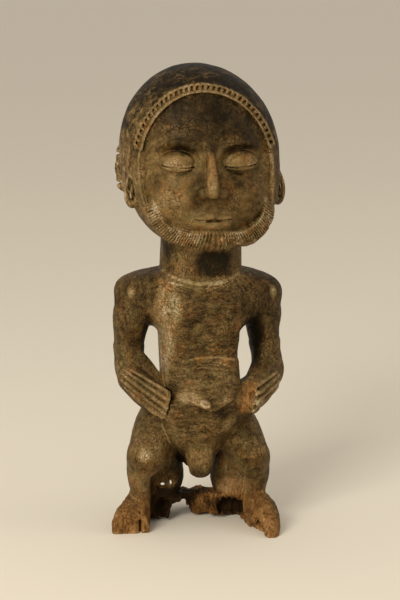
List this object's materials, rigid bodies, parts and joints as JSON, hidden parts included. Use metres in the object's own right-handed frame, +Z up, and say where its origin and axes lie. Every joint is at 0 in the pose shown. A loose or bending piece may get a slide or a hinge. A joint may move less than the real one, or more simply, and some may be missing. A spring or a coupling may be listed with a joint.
{
  "type": "carved wooden ancestor figure",
  "caption": "Standing ancestor figure carved from one block of wood, with a large head, hands at the belly, bent legs and a broken base; it stands on its own feet as a display piece.",
  "frame": {"origin": "middle of the bounding box, on the level the figure stands on", "axes": "+Z up along the body, the figure faces -Y; left and right in every name are the viewer's, so left is -X, the side of the figure's own right hand"},
  "size_m": [0.14, 0.1258, 0.36],
  "materials": {
    "wood": "old dark patina over brown hardwood, worn lighter on raised edges, bare and crumbling at the feet"
  },
  "bodies": {
    "root": {"figure": "wood"}
  },
  "joints": []
}
